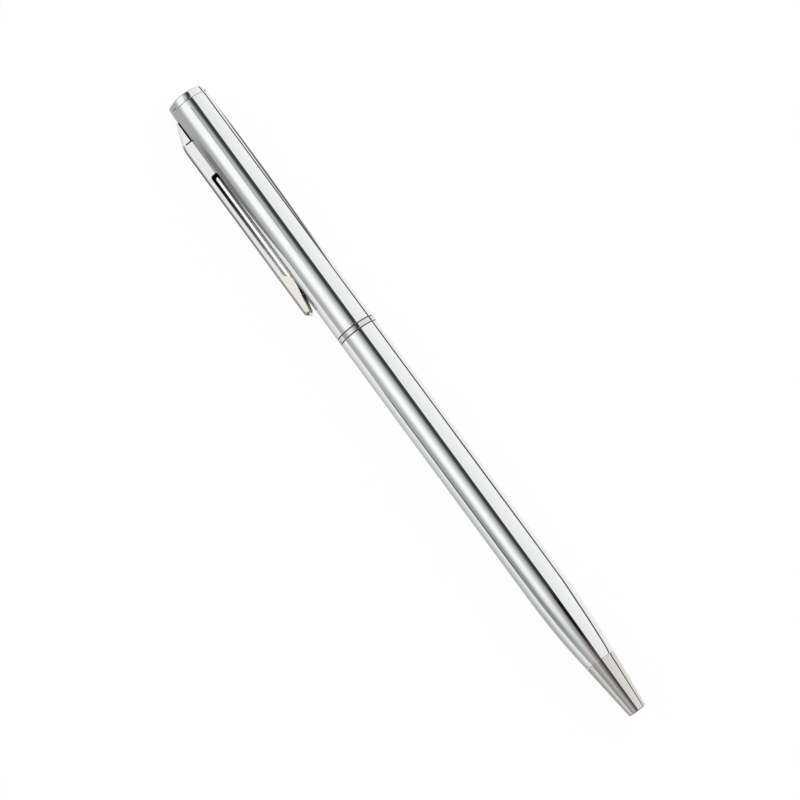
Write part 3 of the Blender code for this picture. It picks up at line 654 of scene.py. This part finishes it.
# Liner and bush
# The moulded liner, pressed into the upper barrel, is what the stub grips, and has a lead-in at its mouth.
# The bush at the top holds the clip's hook and the crown's stud. It is unseen and keeps the frame's shape.
LINER_TINT = (0.86, 0.85, 0.82)
BUSH_TINT = (0.10, 0.10, 0.11)
LINER_LEAD_IN = 0.5 * MM
LINER_EDGE = 0.08 * MM

liner_plastic = moulded("liner_plastic", LINER_TINT, toned=0.92, smoothest=0.38, lift=0.003 * MM)
bush_plastic = moulded("bush_plastic", BUSH_TINT, toned=0.8, smoothest=0.4, lift=0.003 * MM)
liner_start, liner_end, liner_bore, liner_radius = span("drive_liner")
liner_section = [
    (liner_start, liner_radius, LINER_EDGE),
    (liner_end, liner_radius, LINER_EDGE),
    (liner_end, liner_bore + LINER_LEAD_IN / 2, LINER_EDGE),
    (liner_end - LINER_LEAD_IN, liner_bore, LINER_EDGE),
    (liner_start, liner_bore, LINER_EDGE),
]
liner = place("liner", turned(liner_section), "cap", "liner_plastic", liner_plastic)
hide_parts("drive_liner")
frame["nodes"]["clip_bush"].material_slots[0].material = bush_plastic

# Clip
# One blank of spring sheet, folded into a channel and plated: a ramp, a slit that lets it flex, a shoulder,
# two open windows and a leaf that presses on the barrel. Its hook goes through the slot into the bush.
CLIP_TINT = (0.73, 0.735, 0.725)
# Painted warm reflection: the clip's plate turns paler and beige from the shoulder towards the leaf.
WARM_REFLECTION_TINT = (0.83, 0.785, 0.72)
WARM_REFLECTION_FROM = 24 * MM
WARM_REFLECTION_TO = 40 * MM
# Painted warm reflection: the leaf's tip is tinted orange.
TIP_REFLECTION_TINT = (0.86, 0.73, 0.56)
TIP_REFLECTION_FROM = 42.3 * MM
TIP_REFLECTION_TO = 44.8 * MM
# Painted shade: the rounded folds past the slit take a darker plate, a painted dark line along the clip.
BEND_SHADE_TINT = (0.42, 0.42, 0.415)
# Painted shade and painted light inside the channel: the inner faces are black near the ramp and grow pale
# towards the leaf's tip.
INSIDE_SHADE_TINT = (0.02, 0.02, 0.02)
INSIDE_LIGHT_TINT = (0.92, 0.92, 0.915)
INSIDE_SHADE_TO = 12.5 * MM
INSIDE_LIGHT_FROM = 33 * MM
CLIP_HALF_WIDTH = 1.7 * MM
CLIP_SHEET = 0.4 * MM
CLIP_BEND = 0.55 * MM
CLIP_BEND_STEPS = 8
FOLD_ANGLE = math.radians(57.3)
ACROSS_SLOPE = 0.5
BACK_SLOPE = 0.1
FRONT_SLOPE = 0.9
INSIDE_SHADE_AND_LIGHT_MATERIAL = 1
BEND_SHADE_MATERIAL = 2
CLIP_SEAT = 3.84 * MM
RAMP_FOOT = 3.62 * MM
SHOULDER_FOOT = 3.44 * MM
RAMP_START = 2.95 * MM
RAMP_RISE = 3.95 * MM
RAMP_LENGTH = 4.45 * MM
RAMP_BEND = 0.8 * MM
SLIT_SETBACK = 0.4 * MM
SLIT_WIDTH = 0.25 * MM
SLIT_TOP = 4.7 * MM
SHOULDER_LENGTH = 7.4 * MM
RAIL_FOOT = 4.6 * MM
WINDOW_ROUNDING = 0.5 * MM
LEAF_LENGTH = 8.35 * MM
LEAF_ENTRY = 1.05 * MM
LEAF_REST = 1.8 * MM
LEAF_LIFT = 0.08 * MM
LEAF_ROUNDING = 0.5 * MM
TIP_FOOT = 4.5 * MM
TIP_FRONT = 4.85 * MM
TIP_SETBACK = 0.8 * MM
TIP_ROUNDING = 0.75 * MM
HOOK_HALF_WIDTH = 1.0 * MM
HOOK_SHEET = 0.45 * MM
HOOK_SETBACK = 0.25 * MM
HOOK_LENGTH = 1.85 * MM
HOOK_DEPTH = 0.3 * MM
HOOK_ROUNDING = 0.15 * MM
HOOK_ROOT = 3.95 * MM

clip_end = span("clip")[1]
clip_top = (Vector(mounts["clip_face"]["pos_m"]) - crown_end).dot(towards_clip)
ramp_end = RAMP_START + RAMP_LENGTH
slit_start = ramp_end - SLIT_SETBACK
slit_end = slit_start + SLIT_WIDTH
window_start = slit_start + SHOULDER_LENGTH
leaf_start = clip_end - LEAF_LENGTH
rest_start = leaf_start + LEAF_ENTRY
clip_outline = [
    (RAMP_START, RAMP_RISE, 0),
    (ramp_end, clip_top, RAMP_BEND),
    (clip_end, clip_top, TIP_ROUNDING),
    (clip_end, TIP_FRONT, 0),
    (clip_end - TIP_SETBACK, TIP_FOOT, LEAF_ROUNDING / 2),
    (rest_start + LEAF_REST, SHOULDER_FOOT + LEAF_LIFT, LEAF_ROUNDING),
    (rest_start, SHOULDER_FOOT, LEAF_ROUNDING),
    (leaf_start, RAIL_FOOT, LEAF_ROUNDING),
    (window_start, RAIL_FOOT, WINDOW_ROUNDING),
    (window_start, SHOULDER_FOOT, 0),
    (slit_end, SHOULDER_FOOT, 0),
    (slit_end, SLIT_TOP, 0),
    (slit_start, SLIT_TOP, 0),
    (slit_start, RAMP_FOOT - CLIP_BEND, 0),
    (RAMP_START, RAMP_FOOT - CLIP_BEND, 0),
]


def outline_prism(outline, half_width):
    """A flat (station, height, rounding) outline, drawn out to both sides of the pen's middle."""
    corners = [((height, -half_width, station), rounding) for station, height, rounding in outline]
    shape = flat_outline(corners)
    drawn = bmesh.ops.extrude_face_region(shape, geom=list(shape.faces))
    far_side = [item for item in drawn["geom"] if isinstance(item, bmesh.types.BMVert)]
    bmesh.ops.translate(shape, verts=far_side, vec=(0, 2 * half_width, 0))
    bmesh.ops.recalc_face_normals(shape, faces=shape.faces)
    return shape


def grade(material, tint, first, last):
    """Changes a material's colour to another tint along the pen, from one station to another."""
    tree = material.node_tree
    base = tree.nodes["Principled BSDF"].inputs["Base Color"]
    spot = add_node(tree, "ShaderNodeSeparateXYZ")
    feed(tree, add_node(tree, "ShaderNodeTexCoord").outputs["Object"], spot.inputs["Vector"])
    share = ranged(tree, spot.outputs["X"], crown_end.x + first, crown_end.x + last, 0.0, 1.0, "LINEAR")
    feed(tree, mixed(tree, share, base.links[0].from_socket, (*tint, 1), "RGBA"), base)


def on_underside(face):
    """Whether a face of the drawn-out outline is open on the clip: no side, ramp, back or tip's front."""
    across = abs(face.normal.y) < ACROSS_SLOPE
    on_front = face.normal.z > FRONT_SLOPE and face.calc_center_median().x > TIP_FOOT
    return across and not on_front and face.normal.x <= BACK_SLOPE


clip_shape = outline_prism(clip_outline, CLIP_HALF_WIDTH)
underside = [face for face in clip_shape.faces if on_underside(face)]
bmesh.ops.delete(clip_shape, geom=underside, context="FACES")
inner_edges = [edge for edge in clip_shape.edges if not edge.is_boundary]
folds = [edge for edge in inner_edges if edge.calc_face_angle() > FOLD_ANGLE]
# The rounded folds past the slit take the darker plate: painted shade along the folds.
for face in soften(clip_shape, folds, CLIP_BEND, CLIP_BEND_STEPS, "EDGES"):
    if face.calc_center_median().z > slit_start:
        face.material_index = BEND_SHADE_MATERIAL
outside = set(clip_shape.faces)
bmesh.ops.solidify(clip_shape, geom=list(outside), thickness=CLIP_SHEET)
# The sheet's inner faces take the inside plate, with painted shade deep in the channel and painted light
# towards the leaf.
for face in clip_shape.faces:
    if face not in outside:
        face.material_index = INSIDE_SHADE_AND_LIGHT_MATERIAL
for vert in clip_shape.verts:
    if vert.co.z < slit_start + SLIT_WIDTH / 2:
        vert.co.x = max(vert.co.x, RAMP_FOOT)
    if math.hypot(vert.co.x, vert.co.y) < CLIP_SEAT:
        vert.co.x = math.sqrt(CLIP_SEAT**2 - vert.co.y**2)
bmesh.ops.remove_doubles(clip_shape, verts=clip_shape.verts, dist=MERGE)
bmesh.ops.recalc_face_normals(clip_shape, faces=clip_shape.faces)
clip_chrome = plated("clip_chrome", CLIP_TINT, smoothest=0.03, lift=0.002 * MM)
# Paints the clip's warm reflections into its colour along the pen: beige towards the leaf, orange at its
# tip.
grade(clip_chrome, WARM_REFLECTION_TINT, WARM_REFLECTION_FROM, WARM_REFLECTION_TO)
grade(clip_chrome, TIP_REFLECTION_TINT, TIP_REFLECTION_FROM, TIP_REFLECTION_TO)
inside_shade_and_light_chrome = plated("inside_shade_and_light_chrome", INSIDE_SHADE_TINT, smoothest=0.2, lift=0.002 * MM, toned=0.9)
grade(inside_shade_and_light_chrome, INSIDE_LIGHT_TINT, INSIDE_SHADE_TO, INSIDE_LIGHT_FROM)
bend_shade_chrome = plated("bend_shade_chrome", BEND_SHADE_TINT, smoothest=0.06, lift=0.002 * MM)
spring_clip = place("spring_clip", clip_shape, "clip", "clip_chrome", clip_chrome, inside_shade_and_light_chrome, bend_shade_chrome)
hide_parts("clip")
hook_station = RAMP_START + HOOK_SETBACK
hook_toe = hook_station + HOOK_SHEET - HOOK_LENGTH
hook_top = barrel_bore - HOOK_DEPTH
hook_foot = hook_top - HOOK_SHEET
hook_outline = [
    (hook_toe, hook_foot, HOOK_ROUNDING),
    (hook_station + HOOK_SHEET, hook_foot, HOOK_SHEET),
    (hook_station + HOOK_SHEET, HOOK_ROOT, 0),
    (hook_station, HOOK_ROOT, 0),
    (hook_station, hook_top, HOOK_ROUNDING),
    (hook_toe, hook_top, HOOK_ROUNDING),
]
hook_shape = outline_prism(hook_outline, HOOK_HALF_WIDTH)
place("clip_hook", hook_shape, "clip", "clip_chrome", clip_chrome)

# Crown
# A turned and plated plug that closes the top, with a flat end face and slightly sloping sides.
# Its stud is pressed into the bush inside the tube.
CROWN_FACE_RADIUS = 3.72 * MM
CROWN_STUD_RADIUS = 1.5 * MM
CROWN_ROUNDING = 0.25 * MM

_, crown_stud_end, _, crown_radius = span("crown")
crown_height = upper_start - seam_gap
crown_section = [
    (0, 0, 0),
    (0, CROWN_FACE_RADIUS, CROWN_ROUNDING),
    (crown_height, crown_radius, ROLLED_EDGE),
    (crown_height, CROWN_STUD_RADIUS, 0),
    (crown_stud_end, CROWN_STUD_RADIUS, ROLLED_EDGE),
    (crown_stud_end, 0, 0),
]
crown_plug = place("crown_plug", turned(crown_section), "cap", "casing_chrome", casing_chrome)
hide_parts("crown")

# Table
# A plain white table top. It keeps a faint shadow of the pen, and is left out of the chrome's reflections,
# where the white tent below stands for it.
TABLE_SIZE = 4.0
TABLE_SEGMENTS = 4
TABLE_GLOW = 0.945
TABLE_GREY = (0.09, 0.09, 0.09, 1)
WHITE = (1, 1, 1, 1)

table_shape = bmesh.new()
bmesh.ops.create_grid(table_shape, x_segments=TABLE_SEGMENTS, y_segments=TABLE_SEGMENTS, size=TABLE_SIZE)
table_mesh = bpy.data.meshes.new("table")
table_shape.to_mesh(table_mesh)
table_shape.free()
table = bpy.data.objects.new("table", table_mesh)
bpy.context.scene.collection.objects.link(table)
table_white = bpy.data.materials.new("table_white")
table_white.use_nodes = True
table_tree = table_white.node_tree
table_shader = table_tree.nodes["Principled BSDF"]
table_shader.inputs["Base Color"].default_value = TABLE_GREY
table_shader.inputs["Roughness"].default_value = 1.0
table_shader.inputs["Specular IOR Level"].default_value = 0.0
table_shader.inputs["Emission Color"].default_value = WHITE
seen = add_node(table_tree, "ShaderNodeLightPath").outputs["Is Camera Ray"]
table_glow = worked_out(table_tree, "MULTIPLY", seen, TABLE_GLOW)
feed(table_tree, table_glow, table_shader.inputs["Emission Strength"])
table_mesh.materials.append(table_white)
table.visible_glossy = False

# Light tent
# White walls round the pen, with dark gaps that draw the lines along its chrome. Turns are degrees about
# the pen, from straight up towards the side away from the clip. A lean is how far a way points along the
# pen, from -1 at the crown to 1 at the nose, and the gaps slant with it.
TENT = (
    ("table under the pen", -180, 0.62),
    ("table on the clip's side", -158, 0.56),
    ("table on the clip's side", -143, 0.66),
    ("table on the clip's side", -131, 0.80),
    ("table's bright front", -111, 0.97),
    ("foot of the near wall", -103.5, 0.96),
    ("shaded near wall", -100.5, 0.46),
    ("shaded near wall", -84, 0.47),
    ("near wall", -75, 0.62),
    ("near wall", -68, 0.86),
    ("main light", -58, 1.14),
    ("main light", -48, 1.14),
    ("slope of the roof", -37, 0.82),
    ("slope of the roof", -26, 0.50),
    ("slope of the roof", -14.5, 0.14),
    ("edge of the dark gap", -5, 0.05),
    ("far roof", -4, 0.94),
    ("far roof", 22, 0.96),
    ("far wall", 45, 1.01),
    ("far wall", 80, 1.06),
    ("gap at the far wall's foot", 82, 0.03),
    ("gap at the far wall's foot", 91, 0.03),
    ("table behind", 93, 0.98),
    ("table behind", 150, 1.02),
    ("table under the pen", 180, 0.62),
)
GAP_EDGE = 3.4
GAP_STARTS = (-17.5, -14.2)
GAP_START_AT_NOSE = -3.0
GAP_START_LEANS = (-0.05, 0.03)
GAP_END = (1.6, 3.8)
GAP_GLOW = (
    ("grey over the crown", -0.27, (0.055, 0.058, 0.056)),
    ("grey over the middle", -0.06, (0.050, 0.052, 0.050)),
    ("black over the drawn-in front", 0.02, (0.012, 0.012, 0.011)),
    ("black behind the nose", 0.14, (0.014, 0.012, 0.010)),
    ("brown over the nose", 0.21, (0.12, 0.085, 0.07)),
)
CROWN_LEAN = -0.27
NOSE_LEAN = 0.23
SLANT_CHANGE = -0.05
CROWN_SLANT = -14.4
NOSE_SLANT = 4.5
WALL_LEAN = -0.07
WALL_SLANT = -16.0
ROOF_STARTS = (-62, -32)
FAR_STARTS = (30, 60)
FAR_TURNS = (
    ("rise towards the ring", (-0.15, -0.07), -3.5),
    ("drop at the ring", (-0.05, 0.03), 7.5),
    ("fall to the nose", (0.06, 0.225), 5.0),
)
MAIN_LIGHT = ((-68, -52), (-34, -16))
MAIN_LIGHT_ALONG = ((-0.27, 1.0), (-0.08, 1.0), (0.23, 0.56))
SHADED_WALL = ((-104, -100), (-84, -70))
SHADED_WALL_ALONG = ((-0.27, 1.0), (-0.13, 1.0), (-0.04, 0.66), (0.05, 0.66), (0.17, 0.9))
SHADED_TABLE = ((-172, -160), (-130, -112))
SHADED_TABLE_ALONG = ((-0.27, 1.0), (-0.12, 1.0), (0.0, 0.78), (0.23, 0.82))
OPEN_END_LEANS = (0.45, 0.8)
OPEN_END = 0.5
BACK_END_LEANS = (-0.97, -0.6)
BACK_END = 0.4
WHITE_END = ((-160, -145), (-68, -58))
WHITE_END_LEANS = ((-0.75, -0.68), (-0.43, -0.39))
WHITE_END_GLOW = 0.95
COOL_WALL = ((-150, -125), (-98, -88))
COOL_LEANS = (-0.15, -0.12)
COOL_TINT = (0.93, 0.98, 1.0, 1)
STRIPE_EDGE = 1.5
STRIPE_FADE = 0.015
# Each stripe has two leans, its middle turns and its half widths at both of them, and its level.
STRIPES = (
    ("line along the far wall", (-0.500, -0.235), (100, 100), (1.7, 1.2), 0.05),
    ("line along the far wall's middle", (-0.100, -0.045), (87.5, 87), (1.8, 1.8), 0.12),
    ("dark edge behind the far wall", (-0.250, -0.187), (152, 97), (30, 2), 0.20),
    ("table by the crown", (-0.380, -0.248), (-128, -128), (32, 32), 0.46),
    ("dark edge behind the near wall", (-0.246, -0.198), (-124, -98), (26, 1), 0.22),
    ("batten on the roof's slope", (-0.270, -0.205), (-20.5, -24.5), (0.7, 0.7), 0.14),
    ("gap at the near wall's foot", (-0.130, -0.055), (-102, -98), (2.8, 3.5), 0.12),
)

world = bpy.data.worlds.new("light_tent")
bpy.context.scene.world = world
world.use_nodes = True
tent = world.node_tree
ways = add_node(tent, "ShaderNodeSeparateXYZ")
feed(tent, add_node(tent, "ShaderNodeTexCoord").outputs["Generated"], ways.inputs["Vector"])
lean = ways.outputs["X"]
turn = worked_out(tent, "DEGREES", worked_out(tent, "ARCTAN2", ways.outputs["Y"], ways.outputs["Z"]))


def between(value, starts, ends):
    """One between two turns or leans and nought outside them, with soft edges."""
    begun = ranged(tent, value, *starts, 0.0, 1.0)
    return worked_out(tent, "MULTIPLY", begun, ranged(tent, value, *ends, 1.0, 0.0))


def coloured_along(value, stops):
    """A colour that changes with a turn or a lean, from (turn or lean, colour) stops."""
    first, first_colour = stops[0]
    last = stops[-1][0]
    colours = add_node(tent, "ShaderNodeValToRGB")
    elements = colours.color_ramp.elements
    elements.remove(elements[-1])
    elements[0].color = (*first_colour, 1)
    for mark, colour in stops[1:]:
        element = elements.new((mark - first) / (last - first))
        element.color = (*colour, 1)
    feed(tent, ranged(tent, value, first, last, 0.0, 1.0, "LINEAR"), colours.inputs["Fac"])
    return colours.outputs["Color"]


def levels_along(value, stops):
    """A grey level that changes with a turn or a lean, from (turn or lean, level) stops."""
    return coloured_along(value, [(mark, (level, level, level)) for mark, level in stops])


def dimmed(under, zone, stops):
    """Dims a zone of the tent by levels that change with the lean."""
    share = mixed(tent, zone, 1.0, levels_along(lean, stops), "FLOAT")
    return worked_out(tent, "MULTIPLY", under, share)


crown_slant = ranged(tent, lean, CROWN_LEAN, SLANT_CHANGE, CROWN_SLANT, 0.0, "LINEAR")
nose_slant = ranged(tent, lean, SLANT_CHANGE, NOSE_LEAN, 0.0, NOSE_SLANT, "LINEAR")
roof_slant = worked_out(tent, "ADD", crown_slant, nose_slant)
wall_slant = ranged(tent, lean, WALL_LEAN, NOSE_LEAN, 0.0, WALL_SLANT, "LINEAR")
near_slant = mixed(tent, ranged(tent, turn, *ROOF_STARTS, 0.0, 1.0), wall_slant, roof_slant, "FLOAT")
far_turn = 0.0
for _, leans, change in FAR_TURNS:
    far_turn = worked_out(tent, "ADD", far_turn, ranged(tent, lean, *leans, 0.0, change, "LINEAR"))
far_slant = worked_out(tent, "MULTIPLY", ranged(tent, turn, *FAR_STARTS, 0.0, 1.0), far_turn)
slanted = worked_out(tent, "ADD", turn, worked_out(tent, "ADD", near_slant, far_slant))
brightness = levels_along(slanted, [stop[1:] for stop in TENT])
brightness = dimmed(brightness, between(turn, *MAIN_LIGHT), MAIN_LIGHT_ALONG)
brightness = dimmed(brightness, between(slanted, *SHADED_WALL), SHADED_WALL_ALONG)
brightness = dimmed(brightness, between(turn, *SHADED_TABLE), SHADED_TABLE_ALONG)
white_end = worked_out(tent, "MULTIPLY", between(turn, *WHITE_END), between(lean, *WHITE_END_LEANS))
brightness = mixed(tent, white_end, brightness, WHITE_END_GLOW, "FLOAT")
for _, leans, middles, halves, level in STRIPES:
    middle = ranged(tent, lean, *leans, *middles, "LINEAR")
    half = ranged(tent, lean, *leans, *halves, "LINEAR")
    beside = worked_out(tent, "ABSOLUTE", worked_out(tent, "SUBTRACT", turn, middle))
    inside = ranged(tent, worked_out(tent, "SUBTRACT", beside, half), 0.0, STRIPE_EDGE, 1.0, 0.0)
    first, last = leans
    along = between(lean, (first - STRIPE_FADE, first), (last, last + STRIPE_FADE))
    brightness = mixed(tent, worked_out(tent, "MULTIPLY", inside, along), brightness, level, "FLOAT")
open_end = ranged(tent, lean, *OPEN_END_LEANS, 1.0, OPEN_END)
back_end = ranged(tent, lean, *BACK_END_LEANS, BACK_END, 1.0)
for end in (open_end, back_end):
    brightness = worked_out(tent, "MULTIPLY", brightness, end)
cool_length = ranged(tent, lean, *COOL_LEANS, 0.0, 1.0)
cool = worked_out(tent, "MULTIPLY", between(turn, *COOL_WALL), cool_length)
tinted = add_node(tent, "ShaderNodeVectorMath", operation="MULTIPLY")
feed(tent, brightness, tinted.inputs[0])
feed(tent, mixed(tent, cool, WHITE, COOL_TINT, "RGBA"), tinted.inputs[1])
gap_start = worked_out(
    tent,
    "ADD",
    ranged(tent, lean, CROWN_LEAN, SLANT_CHANGE, *GAP_STARTS, "LINEAR"),
    ranged(tent, lean, *GAP_START_LEANS, 0.0, GAP_START_AT_NOSE, "LINEAR"),
)
gap = between(slanted, (gap_start, worked_out(tent, "ADD", gap_start, GAP_EDGE)), GAP_END)
gap_glow = coloured_along(lean, [stop[1:] for stop in GAP_GLOW])
walls = mixed(tent, gap, tinted.outputs["Vector"], gap_glow, "RGBA")
seen_sky = add_node(tent, "ShaderNodeLightPath").outputs["Is Camera Ray"]
background = tent.nodes["Background"].inputs["Color"]
feed(tent, mixed(tent, seen_sky, walls, WHITE, "RGBA"), background)

# Camera
# It stands over the nose's end, well above the pen, and is rolled so that the pen runs from the upper left
# to the lower right of the picture.
CAMERA_ELEVATION = math.radians(75.5)
CAMERA_DISTANCE = 0.445
CAMERA_STATION = 125.0 * MM
AIM_STATION = 66.406 * MM
AIM_OFFSET = -1.180 * MM
CAMERA_ROLL = math.radians(53.6049)
CAMERA_LENS = 115.661
CAMERA_CLIP_START = 0.01

to_camera = Vector((0, -math.cos(CAMERA_ELEVATION), math.sin(CAMERA_ELEVATION)))
beside_pen = Vector((0, math.sin(CAMERA_ELEVATION), math.cos(CAMERA_ELEVATION)))
stand = crown_end + along_pen * CAMERA_STATION + to_camera * CAMERA_DISTANCE
aim = crown_end + along_pen * AIM_STATION + beside_pen * AIM_OFFSET
back = (stand - aim).normalized()
level_way = (along_pen - back * along_pen.dot(back)).normalized()
upright = Matrix((level_way, back.cross(level_way), back)).transposed().to_4x4()
camera_data = bpy.data.cameras.new("camera")
camera_data.lens = CAMERA_LENS
camera_data.clip_start = CAMERA_CLIP_START
camera = bpy.data.objects.new("camera", camera_data)
camera.matrix_world = Matrix.Translation(stand) @ upright @ Matrix.Rotation(CAMERA_ROLL, 4, "Z")
bpy.context.scene.collection.objects.link(camera)
bpy.context.scene.camera = camera
bpy.context.scene.view_settings.view_transform = "Standard"
